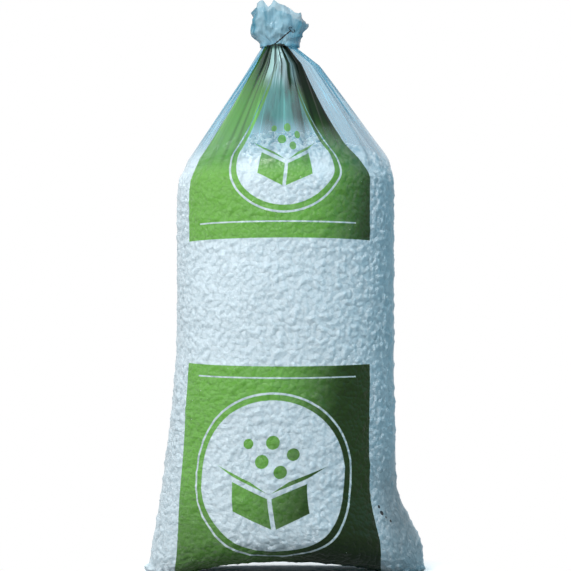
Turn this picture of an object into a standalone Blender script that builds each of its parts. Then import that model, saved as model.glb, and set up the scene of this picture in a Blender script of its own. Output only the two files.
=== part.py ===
# Sack of packing peanuts: a tube of thin printed film, welded flat across the bottom, filled with
# foam peanuts, gathered at the top and closed with a twisted wire tie.
# Metres, +Z up. The printed front faces -Y, and the origin is on the floor under the middle.

import math
import random

import bmesh
import bpy
import numpy as np
from mathutils import Vector
from mathutils.bvhtree import BVHTree

# Film sack, body and base
FILM_WALL = 0.0010
BODY_WIDTH = 0.657
BODY_DEPTH = 0.600
BODY_FULLNESS = 0.89  # power on the section's sine and cosine: 1 is an ellipse, less is fuller
BODY_DENT = 0.004  # how far the film waves in and out of its mean section
LEFT_FLARE = 0.0885  # how far the left flank runs out to its ear at the floor
LEFT_FLARE_HEIGHT = 0.720
RIGHT_FLARE = 0.0885
RIGHT_FLARE_HEIGHT = 0.275
RIGHT_EAR_UPRIGHT = 0.050  # the right ear's edge stands upright over this height
RIGHT_EASE = 0.14  # share of the right flare that runs out slowly from the ease height
RIGHT_EASE_HEIGHT = 0.600
PINCH_HEIGHT = 0.570  # height up to which the section's ends are drawn out
EAR_PINCH = 1.35  # power on the section's sine at the floor, which draws both ends out to ears
BASE_ROUND = 0.150  # height over which front and back turn under
CONTACT_DEPTH = 0.400  # depth of the underside inside the round
ARCH_RISE = 0.042  # the weld holds the middle of the underside up
ARCH_WIDTH = 0.640
WELD_INSET = 0.016  # the ends of the weld stand this far inside the ears' tips

# Film sack, cone and neck
LEFT_SHOULDER = 1.184
RIGHT_SHOULDER = 1.219
SHOULDER_BLEND = 0.040
NECK_HEIGHT = 1.575
NECK_WIDTH = 0.092
NECK_DEPTH = 0.074
NECK_SHIFT = -0.017  # the neck stands a little left of the body's middle
NECK_BAND = 0.008  # straight stretch under the wire
RIGHT_BULGE = 0.029  # the right side stays out, then turns in sharply under the neck
TURN_SLOPE = 1.30
PLEATS = 15
PLEAT_DEPTH = 0.008
PLEAT_CREST = 0.91  # height of the tallest pleat at the neck, as a share of that

# Frill of loose film above the tie
FRILL_WIDTH = 0.168
FRILL_DEPTH = 0.130
FRILL_LEFT_SPREAD = 0.034  # height in which the left side opens out
FRILL_RIGHT_SPREAD = 0.060
FRILL_HEIGHT = 0.1465
FRILL_FALL = 0.062  # the mouth slopes down to the right by this much
FRILL_RAG = 0.007

# Print: two green fields on the front, each with a clear window
PRINT_LEFT_ANGLE = 210  # degrees round the section, 270 being the middle of the front
PRINT_RIGHT_ANGLE = 318
UPPER_PRINT_BOTTOM = 0.984
LOWER_PRINT_TOP = 0.624
PRINT_STRIP = 0.090  # plain strip between a field's end and its window
WINDOW_LEFT_ANGLE = 228
WINDOW_RIGHT_ANGLE = 300
LOWER_WINDOW_BOTTOM = 0.230
UPPER_WINDOW_TOP = 1.330

# Filling
FILL_GAP = 0.0004
LUMP_SPACING = 0.074  # from one lump of the packed peanuts to the next, up the sack
LUMP_SINK = 0.012  # depth of the hollows between the lumps
LUMP_LEAST = 0.002  # the filling's rings between two rings of the film lie in by at least this
LUMP_SHARE = 0.30  # near the ears a hollow takes no more than this share of the half depth
HEAP_EDGE = 1.215  # height at which the filling leaves the film
HEAP_RISE = 0.087
HEAP_LUMP = 0.005
PEANUT_LENGTH = 0.038
PEANUT_WIDTH = 0.021
PEANUT_WAIST = 0.72  # waist as a share of the lobes' width
PEANUT_BEND = 0.007
TOP_PEANUTS = 20
PEANUT_SPACING = 0.054
SEAT_GAP = 0.0003

# Wire tie
WIRE = 0.0024
TWIST_LENGTH = 0.068
TWIST_TURNS = 3
TWIST_START = -0.030  # where the twist leaves the neck, from the body's middle
TWIST_LEAN = 52  # degrees that the twist leans to the right of upright
TWIST_FORWARD = 0.032  # how far its end stands in front of its start
EYE = 0.009  # diameter of the loop at each end of the wire

COLUMNS = 60
SEED = 7


def soft_min(a, b, blend):
    """The smaller of two lengths, rounded off where they cross."""
    share = np.clip(0.5 + 0.5 * (b - a) / blend, 0, 1)
    return b * (1 - share) + a * share - blend * share * (1 - share)


def smooth_step(t):
    t = np.clip(t, 0, 1)
    return t * t * (3 - 2 * t)


def signed_power(value, power):
    return np.sign(value) * np.abs(value) ** power


def flank(z, side):
    """Reach of the sack from its mid plane at height z, on the left (-1) or the right (1)."""
    if side < 0:
        flare = LEFT_FLARE * max(0, 1 - z / LEFT_FLARE_HEIGHT) ** 1.5
    else:
        rise = (RIGHT_FLARE_HEIGHT - z) / (RIGHT_FLARE_HEIGHT - RIGHT_EAR_UPRIGHT)
        ease = max(0, 1 - z / RIGHT_EASE_HEIGHT)
        flare = RIGHT_FLARE * ((1 - RIGHT_EASE) * smooth_step(rise) + RIGHT_EASE * ease)
    body = BODY_WIDTH / 2 + flare
    shoulder, bulge = (LEFT_SHOULDER, 0) if side < 0 else (RIGHT_SHOULDER, RIGHT_BULGE)
    neck = NECK_WIDTH / 2 + side * NECK_SHIFT
    below = max(0, NECK_HEIGHT - NECK_BAND / 2 - z)
    arrival = neck + bulge
    cone = arrival + (BODY_WIDTH / 2 - arrival) * below / (NECK_HEIGHT - shoulder)
    turn = neck + TURN_SLOPE * below
    return min(soft_min(body, cone, SHOULDER_BLEND), turn)


def half_depth(z):
    shoulder = (LEFT_SHOULDER + RIGHT_SHOULDER) / 2
    below = max(0, NECK_HEIGHT - NECK_BAND / 2 - z)
    cone = NECK_DEPTH / 2 + (BODY_DEPTH - NECK_DEPTH) / 2 * below / (NECK_HEIGHT - shoulder)
    return soft_min(BODY_DEPTH / 2, cone, SHOULDER_BLEND)


def angles():
    return np.radians(np.arange(COLUMNS) * 360 / COLUMNS)


def section(left, right, depth, pinch):
    """Closed outline with these reaches; pinch is the power that shapes its left and right ends."""
    turn = angles()
    x = (right - left) / 2 + (right + left) / 2 * signed_power(np.cos(turn), BODY_FULLNESS)
    y = depth * signed_power(np.sin(turn), pinch)
    return x, y


def arch(x):
    """Height of the underside over the floor: the weld holds its middle up, the rest lies flat."""
    return ARCH_RISE * np.maximum(0, 1 - (x / (ARCH_WIDTH / 2)) ** 2)


def underside_rings():
    rings = []
    for share, inset in ((0.30, WELD_INSET), (0.68, WELD_INSET / 2)):
        x, y = section(
            flank(0, -1) - inset, flank(0, 1) - inset, share * CONTACT_DEPTH / 2, EAR_PINCH
        )
        rings.append(np.stack([x, y, arch(x)], axis=1))
    return rings


def round_rings():
    """The turn from the underside up into the front and back."""
    rings = []
    for degrees in (90, 62, 38, 18):
        z = BASE_ROUND * (1 - math.sin(math.radians(degrees)))
        out = math.cos(math.radians(degrees))
        depth = CONTACT_DEPTH / 2 + (half_depth(z) - CONTACT_DEPTH / 2) * out
        pinch = EAR_PINCH + (1.15 - EAR_PINCH) * out
        x, y = section(flank(z, -1), flank(z, 1), depth, pinch)
        lift = arch(x) * (1 - z / BASE_ROUND)
        rings.append(np.stack([x, y, z + lift], axis=1))
    return rings


def pleat_wave():
    """Every pleat of the gather has its own depth."""
    dice = random.Random(SEED)
    depth = np.repeat([dice.uniform(0.55, 1.0) for _ in range(PLEATS)], COLUMNS // PLEATS)
    return depth * np.sin(PLEATS * angles())


def wall_ring(z):
    turn = angles()
    pinch = BODY_FULLNESS + (1.15 - BODY_FULLNESS) * smooth_step(1 - z / PINCH_HEIGHT)
    x, y = section(flank(z, -1), flank(z, 1), half_depth(z), pinch)
    shoulder = min(LEFT_SHOULDER, RIGHT_SHOULDER)
    body = smooth_step(z / PINCH_HEIGHT) * smooth_step((shoulder - z) / (shoulder / 3))
    wave = np.sin(3 * turn + 9 * z) * np.sin(11 * z + 2 * np.cos(2 * turn))
    gather = smooth_step((z - shoulder) / (0.7 * (NECK_HEIGHT - shoulder)))
    out = body * BODY_DENT * wave * np.abs(np.sin(turn)) + gather * PLEAT_DEPTH * pleat_wave()
    return np.stack([x + out * np.cos(turn), y + out * np.sin(turn), np.full(COLUMNS, z)], axis=1)


def wall_rings():
    """Body and cone; the print's ends each lie on a ring of their own."""
    shoulder = (LEFT_SHOULDER + RIGHT_SHOULDER) / 2
    neck = NECK_HEIGHT - NECK_BAND / 2
    marks = [BASE_ROUND, LOWER_WINDOW_BOTTOM, LOWER_PRINT_TOP - PRINT_STRIP, LOWER_PRINT_TOP]
    marks += [UPPER_PRINT_BOTTOM, UPPER_PRINT_BOTTOM + PRINT_STRIP, shoulder, UPPER_WINDOW_TOP]
    steps = (1, 3, 1, 3, 1, 2, 3)
    heights = [BASE_ROUND]
    for low, high, count in zip(marks, marks[1:], steps):
        heights += [low + (high - low) * k / count for k in range(1, count + 1)]
    for share in (0.40, 0.72, 0.90, 1.0):
        heights.append(UPPER_WINDOW_TOP + (neck - UPPER_WINDOW_TOP) * share)
    return [wall_ring(z) for z in heights]


def frill_rings():
    """From the band under the wire, out into the loose frill with its sloping, ragged mouth."""
    turn = angles()
    dice = random.Random(SEED + 1)
    rag = FRILL_RAG * np.array([dice.uniform(-1, 1) for _ in range(COLUMNS)])
    rightward = (1 + np.cos(turn)) / 2
    rim = FRILL_HEIGHT - FRILL_RAG - FRILL_FALL * rightward**1.3 - 0.4 * FRILL_FALL * (1 - rightward) ** 8
    base = NECK_HEIGHT + NECK_BAND / 2
    rings = []
    for share in (0, 0.12, 0.28, 0.50, 0.78, 1.0):
        height = share * (rim + share**4 * rag)
        spread = np.where(np.cos(turn) > 0, FRILL_RIGHT_SPREAD, FRILL_LEFT_SPREAD)
        opened = smooth_step(height / spread)
        reach = NECK_WIDTH / 2 + (FRILL_WIDTH - NECK_WIDTH) / 2 * opened
        depth = NECK_DEPTH / 2 + (FRILL_DEPTH - NECK_DEPTH) / 2 * smooth_step(height / FRILL_RIGHT_SPREAD)
        out = PLEAT_DEPTH * (1 + 0.5 * share) * pleat_wave()
        x = NECK_SHIFT + reach * signed_power(np.cos(turn), BODY_FULLNESS) + out * np.cos(turn)
        y = depth * signed_power(np.sin(turn), BODY_FULLNESS) + out * np.sin(turn)
        rings.append(np.stack([x, y, base + height], axis=1))
    return rings


def outward(grid):
    """Unit normals of a grid of rings, from the differences between neighbours."""
    along = np.roll(grid, -1, axis=1) - np.roll(grid, 1, axis=1)
    up = np.empty_like(grid)
    up[1:-1] = grid[2:] - grid[:-2]
    up[0] = grid[1] - grid[0]
    up[-1] = grid[-1] - grid[-2]
    normal = np.cross(along, up)
    return normal / np.linalg.norm(normal, axis=2, keepdims=True)


def add_rings(bm, grid):
    return [[bm.verts.new(point) for point in ring] for ring in grid]


def bridge(bm, rings):
    """Faces between each ring and the next, cut along the same diagonal in film and filling, so
    that their facets run parallel; returns (face, column)."""
    made = []
    for low, high in zip(rings, rings[1:]):
        for k in range(len(low)):
            n = (k + 1) % len(low)
            made.append((bm.faces.new((low[k], low[n], high[n])), k))
            made.append((bm.faces.new((low[k], high[n], high[k])), k))
    return made


def close_flat(bm, ring):
    """Closes a ring across its short way, front point to back point."""
    half = len(ring) // 2
    bm.faces.new((ring[0], ring[1], ring[-1]))
    for k in range(1, half - 1):
        bm.faces.new((ring[k], ring[k + 1], ring[-k - 1]))
        bm.faces.new((ring[k], ring[-k - 1], ring[-k]))
    bm.faces.new((ring[half - 1], ring[half], ring[half + 1]))


def finish(name, bm, materials, smooth=40):
    bmesh.ops.recalc_face_normals(bm, faces=bm.faces)
    mesh = bpy.data.meshes.new(name)
    bm.to_mesh(mesh)
    bm.free()
    mesh.shade_smooth()
    mesh.set_sharp_from_angle(angle=math.radians(smooth))
    for material in materials:
        mesh.materials.append(material)
    obj = bpy.data.objects.new(name, mesh)
    bpy.context.scene.collection.objects.link(obj)
    return obj


def material(name, colour, roughness, metallic=0.0, alpha=1.0):
    made = bpy.data.materials.new(name)
    made.use_nodes = True
    shader = made.node_tree.nodes["Principled BSDF"]
    shader.inputs["Base Color"].default_value = (*colour, 1)
    shader.inputs["Roughness"].default_value = roughness
    shader.inputs["Metallic"].default_value = metallic
    shader.inputs["Alpha"].default_value = alpha
    made.diffuse_color = (*colour, alpha)
    return made


def printed(height, degrees):
    """True where the film carries a green field at this height and angle of the front."""
    if not PRINT_LEFT_ANGLE < degrees < PRINT_RIGHT_ANGLE or height > NECK_HEIGHT:
        return False
    window = WINDOW_LEFT_ANGLE < degrees < WINDOW_RIGHT_ANGLE
    if height < LOWER_PRINT_TOP:
        return not (window and LOWER_WINDOW_BOTTOM < height < LOWER_PRINT_TOP - PRINT_STRIP)
    if height > UPPER_PRINT_BOTTOM:
        return not (window and UPPER_PRINT_BOTTOM + PRINT_STRIP < height < UPPER_WINDOW_TOP)
    return False


def make_sack(grid, normals):
    bm = bmesh.new()
    outer = add_rings(bm, grid)
    inner = add_rings(bm, grid - FILM_WALL * normals)
    for face, column in bridge(bm, outer):
        height = face.calc_center_median().z
        face.material_index = printed(height, (column + 0.5) * 360 / COLUMNS)
    bridge(bm, inner)
    bridge(bm, [outer[-1], inner[-1]])
    close_flat(bm, outer[0])
    close_flat(bm, inner[0])
    film = material("clear_film", (0.62, 0.74, 0.80), 0.25, alpha=0.45)
    green = material("green_print", (0.16, 0.42, 0.07), 0.35)
    return finish("sack_film", bm, [film, green])


def heap_rings(edge):
    """The heap's top: its edge ring drawn in to the middle, rising, with uneven lumps."""
    dice = random.Random(SEED + 2)
    middle = edge.mean(axis=0)
    rings = []
    for share in (0.90, 0.76, 0.60, 0.43, 0.26, 0.10):
        ring = middle + share * (edge - middle)
        ring[:, 2] = HEAP_EDGE + HEAP_RISE * (1 - share**2.2)
        ring[:, 2] += HEAP_LUMP * np.array([dice.uniform(-1, 1) for _ in range(len(edge))])
        rings.append(ring)
    return rings


def lumpy_rings(rings, normals):
    """The filling's rings with more set between them; every second point of a chequered pattern is
    sunk, which leaves lumps with hollows between them. The underside and the top ring stay smooth."""
    dice = random.Random(SEED + 4)
    flat = len(underside_rings())
    made = rings[:flat]
    for index in range(flat, len(rings) - 1):
        low, high = rings[index], rings[index + 1]
        count = max(1, round(2 * np.linalg.norm(high - low, axis=1).mean() / LUMP_SPACING))
        for step in range(count):
            share = step / count
            ring = low + share * (high - low)
            inward = -(normals[index] + share * (normals[index + 1] - normals[index]))
            row = len(made)
            sunk = np.array([
                LUMP_SINK * dice.uniform(0.7, 1) if (column + row) % 2 else LUMP_LEAST * (step > 0)
                for column in range(COLUMNS)
            ])
            sunk = np.minimum(sunk, LUMP_SHARE * np.abs(ring[:, 1]))
            made.append(ring + sunk[:, None] * inward)
    return made + [rings[-1]]


def make_fill(grid, normals):
    inside = grid - (FILM_WALL + FILL_GAP) * normals
    below = [ring for ring in inside if ring[:, 2].mean() < HEAP_EDGE - 0.01]
    above = inside[len(below)]
    share = (HEAP_EDGE - below[-1][:, 2]) / (above[:, 2] - below[-1][:, 2])
    edge = below[-1] + share[:, None] * (above - below[-1])
    bm = bmesh.new()
    rings = add_rings(bm, lumpy_rings(below + [edge], normals) + heap_rings(edge))
    bridge(bm, rings)
    close_flat(bm, rings[0])
    bm.faces.new(rings[-1])
    bmesh.ops.triangulate(bm, faces=[f for f in bm.faces if len(f.verts) > 4])
    foam = material("foam", (0.86, 0.90, 0.93), 0.7)
    return finish("peanut_fill", bm, [foam], smooth=60), foam


def peanut_mesh(foam):
    """One foam peanut: two lobes with a waist, bent like a saddle."""
    sides, steps = 6, 6
    rings = []
    for k in range(steps):
        t = -1 + 2 * (k + 0.5) / steps
        lobe = 1 - (1 - PEANUT_WAIST) * math.cos(math.pi * t / 2) ** 4
        radius = PEANUT_WIDTH / 2 * lobe * math.sqrt(1 - abs(t) ** 3.2)
        rings.append([
            (
                PEANUT_LENGTH / 2 * t,
                radius * math.cos(math.tau * s / sides),
                0.8 * radius * math.sin(math.tau * s / sides) + PEANUT_BEND * (0.5 - t * t),
            )
            for s in range(sides)
        ])
    bm = bmesh.new()
    made = add_rings(bm, rings)
    bridge(bm, made)
    for ring, end in ((made[0], -1), (made[-1], 1)):
        tip = bm.verts.new((end * PEANUT_LENGTH / 2, 0, -PEANUT_BEND / 2))
        for k in range(sides):
            bm.faces.new((ring[k], ring[(k + 1) % sides], tip))
    bmesh.ops.recalc_face_normals(bm, faces=bm.faces)
    mesh = bpy.data.meshes.new("peanut")
    bm.to_mesh(mesh)
    bm.free()
    mesh.shade_smooth()
    mesh.materials.append(foam)
    return mesh


def triangles_in_place(mesh, matrix):
    mesh.calc_loop_triangles()
    points = [matrix @ vertex.co for vertex in mesh.vertices]
    return BVHTree.FromPolygons(points, [tuple(t.vertices) for t in mesh.loop_triangles])


def seat(obj, heap):
    """Lowers a peanut on to the heap, leaving the seat gap."""
    bpy.context.view_layer.update()
    down = Vector((0, 0, -1))
    drops = []
    for vertex in obj.data.vertices:
        hit = heap.ray_cast(obj.matrix_world @ vertex.co, down)
        if hit[0] is not None:
            drops.append(hit[3])
    obj.location.z -= min(drops)
    bpy.context.view_layer.update()
    step = SEAT_GAP / 2
    while triangles_in_place(obj.data, obj.matrix_world).overlap(heap):
        obj.location.z += step
        bpy.context.view_layer.update()
    obj.location.z += SEAT_GAP


def make_peanuts(fill, foam):
    """Loose peanuts on top of the heap, in a sunflower order so that they keep apart."""
    heap = triangles_in_place(fill.data, fill.matrix_world)
    mesh = peanut_mesh(foam)
    dice = random.Random(SEED + 3)
    for k in range(TOP_PEANUTS):
        radius = PEANUT_SPACING * math.sqrt(k + 0.5) / math.sqrt(math.pi) * 1.15
        turn = math.radians(137.508) * k
        peanut = bpy.data.objects.new(f"loose_peanut_{k + 1:02d}", mesh)
        bpy.context.scene.collection.objects.link(peanut)
        peanut.location = (radius * math.cos(turn), radius * math.sin(turn), HEAP_EDGE + HEAP_RISE + 0.1)
        peanut.rotation_euler = (
            dice.uniform(-0.25, 0.25),
            dice.uniform(-0.2, 0.2),
            dice.uniform(0, math.tau),
        )
        seat(peanut, heap)


def wire_route():
    """Eye, twisted strand, once round the neck, the other strand and its eye."""
    steps = 26
    sag = NECK_WIDTH / 2 * (1 - math.cos(math.pi / steps))
    out = PLEAT_CREST * PLEAT_DEPTH + WIRE / 2 + SEAT_GAP + sag
    strand = WIRE / 2 + SEAT_GAP / 2
    lean = math.radians(TWIST_LEAN)
    start_turn = math.acos((TWIST_START - NECK_SHIFT) / (NECK_WIDTH / 2 + out))
    opening = math.asin(2.2 * strand / (NECK_WIDTH / 2))
    first, last = -start_turn + opening, math.tau - start_turn - opening
    loop = []
    for k in range(steps + 1):
        turn = first + (last - first) * k / steps
        x = NECK_WIDTH / 2 * signed_power(math.cos(turn), BODY_FULLNESS) + out * math.cos(turn)
        y = NECK_DEPTH / 2 * signed_power(math.sin(turn), BODY_FULLNESS) + out * math.sin(turn)
        loop.append(Vector((NECK_SHIFT + x, y, NECK_HEIGHT)))
    base = (loop[0] + loop[-1]) / 2 + Vector((0, -1.5 * WIRE, 1.5 * WIRE))
    axis = Vector((math.sin(lean), 0, math.cos(lean))) * math.sqrt(TWIST_LENGTH**2 - TWIST_FORWARD**2)
    axis = (axis + Vector((0, -TWIST_FORWARD, 0))).normalized()
    side = (loop[0] - loop[-1]).normalized()
    side = (side - side.dot(axis) * axis).normalized()
    front = axis.cross(side)

    def strand_points(sign):
        points = []
        count = 6 * TWIST_TURNS
        for k in range(count + 1):
            phase = math.tau * TWIST_TURNS * k / count
            out = math.cos(phase) * side + math.sin(phase) * front
            points.append(base + axis * TWIST_LENGTH * k / count + sign * strand * out)
        end = points[-1]
        centre = end + axis * EYE / 2 + sign * side * EYE / 2
        for k in range(1, 9):
            turn = math.radians(230 + 36 * k - 36)
            across = math.cos(turn) * sign * side + math.sin(turn) * axis
            points.append(centre + across * EYE / 2)
        return points

    right = strand_points(1)
    left = strand_points(-1)
    return left[::-1] + loop[::-1] + right


def make_tie():
    curve = bpy.data.curves.new("wire_tie", "CURVE")
    curve.dimensions = "3D"
    points = wire_route()
    spline = curve.splines.new("POLY")
    spline.points.add(len(points) - 1)
    for point, place in zip(spline.points, points):
        point.co = (*place, 1)
    curve.bevel_depth = WIRE / 2
    curve.bevel_resolution = 1
    curve.use_fill_caps = True
    curve.materials.append(material("dark_wire", (0.05, 0.045, 0.05), 0.45, metallic=0.8))
    obj = bpy.data.objects.new("wire_tie", curve)
    bpy.context.scene.collection.objects.link(obj)


def main():
    for obj in list(bpy.data.objects):
        bpy.data.objects.remove(obj, do_unlink=True)
    grid = np.array(underside_rings() + round_rings() + wall_rings() + frill_rings())
    normals = outward(grid)
    make_sack(grid, normals)
    fill, foam = make_fill(grid, normals)
    make_peanuts(fill, foam)
    make_tie()


main()
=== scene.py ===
import math
import random
from functools import partial

import bmesh
import bpy
import numpy as np
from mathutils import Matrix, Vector, noise
from mathutils.bvhtree import BVHTree
from mathutils.kdtree import KDTree


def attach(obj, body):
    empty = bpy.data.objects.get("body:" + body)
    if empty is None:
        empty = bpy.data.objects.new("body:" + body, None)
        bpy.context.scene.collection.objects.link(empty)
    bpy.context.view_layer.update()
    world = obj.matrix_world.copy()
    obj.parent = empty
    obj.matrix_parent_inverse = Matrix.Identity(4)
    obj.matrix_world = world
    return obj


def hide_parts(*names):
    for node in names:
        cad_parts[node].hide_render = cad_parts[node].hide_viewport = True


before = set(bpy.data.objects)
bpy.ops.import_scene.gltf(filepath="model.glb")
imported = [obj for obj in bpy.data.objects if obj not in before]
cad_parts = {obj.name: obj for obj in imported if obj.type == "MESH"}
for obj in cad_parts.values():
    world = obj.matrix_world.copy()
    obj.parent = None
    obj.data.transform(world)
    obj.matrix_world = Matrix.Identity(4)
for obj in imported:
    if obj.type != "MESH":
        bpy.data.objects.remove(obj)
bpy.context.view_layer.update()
scene = bpy.context.scene
scene.view_settings.view_transform = "Standard"
print("frame loaded")

# The sack's own sizes, as the solids have them, and the film's mesh
sack = {
    "bodyWidth": 0.657, "bodyDepth": 0.600, "fullness": 0.89,
    "flare": 0.0885, "leftFlareHeight": 0.720, "rightFlareHeight": 0.275, "earUpright": 0.050,
    "ease": 0.14, "easeHeight": 0.600, "pinchHeight": 0.570, "earPinch": 1.35,
    "baseRound": 0.150, "contactDepth": 0.400, "archRise": 0.042, "archWidth": 0.640,
    "leftShoulder": 1.184, "rightShoulder": 1.219, "shoulderBlend": 0.040,
    "neckHeight": 1.575, "neckWidth": 0.092, "neckDepth": 0.074, "neckShift": -0.017,
    "neckBand": 0.008, "rightBulge": 0.029, "turnSlope": 1.30, "pleats": 15, "pleatDepth": 0.008,
    "frillWidth": 0.168, "frillDepth": 0.130, "leftSpread": 0.034, "rightSpread": 0.060,
    "heapEdge": 1.215, "heapRise": 0.087, "weldInset": 0.016, "roundPinch": 1.15, "bellyWave": 0.004,
}
neckLow = sack["neckHeight"] - sack["neckBand"] / 2
neckHigh = sack["neckHeight"] + sack["neckBand"] / 2
filmMesh = {
    "columns": 360, "weldRows": 12, "roundRows": 34,
    "splitHeight": 1.20, "bodyStep": 0.0056, "coneStep": 0.007,
}


def smoothStep(t):
    t = np.clip(t, 0, 1)
    return t * t * (3 - 2 * t)


def signedPower(value, power):
    return np.sign(value) * np.abs(value) ** power


def softMin(a, b, blend):
    share = np.clip(0.5 + 0.5 * (b - a) / blend, 0, 1)
    return b * (1 - share) + a * share - blend * share * (1 - share)


def flank(z, side):
    # reach from the middle plane, left is -1 and right is 1
    if side < 0:
        flare = sack["flare"] * max(0, 1 - z / sack["leftFlareHeight"]) ** 1.5
    else:
        rise = (sack["rightFlareHeight"] - z) / (sack["rightFlareHeight"] - sack["earUpright"])
        ease = max(0, 1 - z / sack["easeHeight"])
        flare = sack["flare"] * ((1 - sack["ease"]) * smoothStep(rise) + sack["ease"] * ease)
    shoulder = sack["leftShoulder"] if side < 0 else sack["rightShoulder"]
    neck = sack["neckWidth"] / 2 + side * sack["neckShift"]
    below = max(0, neckLow - z)
    arrival = neck + (0 if side < 0 else sack["rightBulge"])
    cone = arrival + (sack["bodyWidth"] / 2 - arrival) * below / (sack["neckHeight"] - shoulder)
    body = softMin(sack["bodyWidth"] / 2 + flare, cone, sack["shoulderBlend"])
    return min(body, neck + sack["turnSlope"] * below)


def halfDepth(z):
    shoulder = (sack["leftShoulder"] + sack["rightShoulder"]) / 2
    below = max(0, neckLow - z)
    neck = sack["neckDepth"] / 2
    cone = neck + (sack["bodyDepth"] / 2 - neck) * below / (sack["neckHeight"] - shoulder)
    return softMin(sack["bodyDepth"] / 2, cone, sack["shoulderBlend"])


def section(turn, left, right, depth, pinch):
    x = (right - left) / 2 + (right + left) / 2 * signedPower(np.cos(turn), sack["fullness"])
    return x, depth * signedPower(np.sin(turn), pinch)


def arch(x):
    return sack["archRise"] * np.maximum(0, 1 - (x / (sack["archWidth"] / 2)) ** 2)


def baseRow(turn, share):
    # underside, share 0 at the weld to 1 where the round begins
    inset = sack["weldInset"] * (1 - share)
    x, y = section(turn, flank(0, -1) - inset, flank(0, 1) - inset,
                   share * sack["contactDepth"] / 2, sack["earPinch"])
    return np.stack([x, y, arch(x)], axis=1)


def roundRow(turn, degrees):
    z = sack["baseRound"] * (1 - math.sin(math.radians(degrees)))
    out = math.cos(math.radians(degrees))
    contact = sack["contactDepth"] / 2
    pinch = sack["earPinch"] + (sack["roundPinch"] - sack["earPinch"]) * out
    x, y = section(turn, flank(z, -1), flank(z, 1), contact + (halfDepth(z) - contact) * out, pinch)
    return np.stack([x, y, z + arch(x) * (1 - z / sack["baseRound"])], axis=1)


def pleatWave(turn):
    dice = random.Random(7)
    depth = np.array([dice.uniform(0.55, 1.0) for _ in range(sack["pleats"])])
    which = (turn * sack["pleats"] / math.tau).astype(int) % sack["pleats"]
    return depth[which] * np.sin(sack["pleats"] * turn)


# Straight creases that run down from the tie, each a sharp ridge that fades towards the shoulder
creaseSize = {"count": 64, "depth": 0.0080, "narrow": 0.022, "wide": 0.080, "seed": 12}


def creaseWave(turn, rise):
    dice = random.Random(creaseSize["seed"])
    total = np.zeros(len(turn))
    for _ in range(creaseSize["count"]):
        middle = dice.uniform(0, math.tau)
        width = dice.uniform(creaseSize["narrow"], creaseSize["wide"])
        depth = dice.uniform(0.25, 1.0) * dice.choice((-1, 1)) * creaseSize["depth"]
        reach = dice.uniform(-0.1, 0.75)
        drift = dice.uniform(-0.10, 0.10) * (1 - rise)
        apart = np.abs((turn - middle - drift + math.pi) % math.tau - math.pi)
        fade = smoothStep((rise - reach) / 0.4)
        total += depth * fade * np.maximum(0, 1 - apart / width) ** 1.3
    return total


def wallRow(turn, z):
    low = smoothStep(1 - z / sack["pinchHeight"])
    pinch = sack["fullness"] + (sack["roundPinch"] - sack["fullness"]) * low
    x, y = section(turn, flank(z, -1), flank(z, 1), halfDepth(z), pinch)
    shoulder = sack["leftShoulder"]
    body = smoothStep(z / sack["pinchHeight"]) * smoothStep((shoulder - z) / (shoulder / 3))
    wave = np.sin(3 * turn + 9 * z) * np.sin(11 * z + 2 * np.cos(2 * turn))
    rise = (z - shoulder) / (sack["neckHeight"] - shoulder)
    gather = smoothStep(rise / 0.7)
    out = body * sack["bellyWave"] * wave * np.abs(np.sin(turn))
    out = out + gather * sack["pleatDepth"] * pleatWave(turn)
    if rise > 0:
        out = out + creaseWave(turn, rise) * smoothStep(rise / 0.1)
    return np.stack([x + out * np.cos(turn), y + out * np.sin(turn), np.full(len(turn), z)], axis=1)


# Frill: a fold of film hangs over the wire, then the loose film opens to a torn rim. The rim is
# a row of (x, z) points seen from the front.
frillLook = {
    "rows": 44, "ruffle": 0.006, "lobes": 7, "crumple": 0.0125, "fine": 0.004, "rag": 0.005,
    "backDrop": 0.007,
    "rim": ((-0.104, 1.679), (-0.086, 1.701), (-0.066, 1.708), (-0.053, 1.688), (-0.045, 1.696),
            (-0.037, 1.709), (-0.023, 1.697), (0.012, 1.688), (0.026, 1.672), (0.043, 1.669),
            (0.056, 1.655), (0.074, 1.640)),
    "fold": ((0.0090, 0.0015), (0.0124, 0.0008), (0.0130, -0.0035), (0.0129, -0.0072),
             (0.0139, -0.0076), (0.0144, -0.0030), (0.0142, 0.0020)),
    "foldGap": (-1.808, 0.34),
}


def foldShare(turn):
    # the fold leaves the place free where the wire's twist starts
    middle, half = frillLook["foldGap"]
    apart = np.abs((turn - middle + math.pi) % math.tau - math.pi)
    return smoothStep((apart - half) / 0.25)


def foldRow(turn, out, rise):
    share = foldShare(turn)
    pleat = sack["pleatDepth"] * pleatWave(turn)
    reach = pleat + share * (out - pleat)
    cosine = signedPower(np.cos(turn), sack["fullness"])
    sine = signedPower(np.sin(turn), sack["fullness"])
    x = sack["neckShift"] + sack["neckWidth"] / 2 * cosine + reach * np.cos(turn)
    y = sack["neckDepth"] / 2 * sine + reach * np.sin(turn)
    z = neckHigh + share * rise
    return np.stack([x, y, z], axis=1)


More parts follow.
